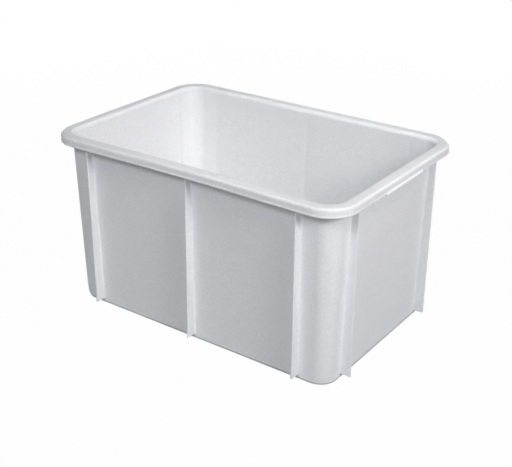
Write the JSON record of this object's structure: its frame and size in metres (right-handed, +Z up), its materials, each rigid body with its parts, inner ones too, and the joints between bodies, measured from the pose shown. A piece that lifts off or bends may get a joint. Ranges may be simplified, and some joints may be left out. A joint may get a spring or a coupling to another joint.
{
  "type": "stacking container",
  "caption": "Open-topped moulded plastic stacking container with a rolled rim, rounded corners, outside stacking fins and a hand grip under the rim at each end.",
  "frame": {"origin": "middle of the flat underside of the base, the face that the container stands on", "axes": "+Z up out of the mouth, +X along the length towards one grip, +Y across the width"},
  "size_m": [0.6, 0.4, 0.325],
  "materials": {
    "polyethylene": "fine matt moulded polyethylene, off-white"
  },
  "bodies": {
    "root": {"base_panel": "polyethylene", "front_left_corner": "polyethylene", "front_left_fin": "polyethylene", "front_left_rim_corner": "polyethylene", "front_middle_fin": "polyethylene", "front_right_corner": "polyethylene", "front_right_fin": "polyethylene", "front_right_rim_corner": "polyethylene", "front_rim": "polyethylene", "front_wall": "polyethylene", "left_front_fin": "polyethylene", "left_front_gusset": "polyethylene", "left_grip": "polyethylene", "left_rear_fin": "polyethylene", "left_rear_gusset": "polyethylene", "left_rim": "polyethylene", "left_wall": "polyethylene", "rear_left_corner": "polyethylene", "rear_left_fin": "polyethylene", "rear_left_rim_corner": "polyethylene", "rear_middle_fin": "polyethylene", "rear_right_corner": "polyethylene", "rear_right_fin": "polyethylene", "rear_right_rim_corner": "polyethylene", "rear_rim": "polyethylene", "rear_wall": "polyethylene", "right_front_fin": "polyethylene", "right_front_gusset": "polyethylene", "right_grip": "polyethylene", "right_rear_fin": "polyethylene", "right_rear_gusset": "polyethylene", "right_rim": "polyethylene", "right_wall": "polyethylene"}
  },
  "joints": []
}
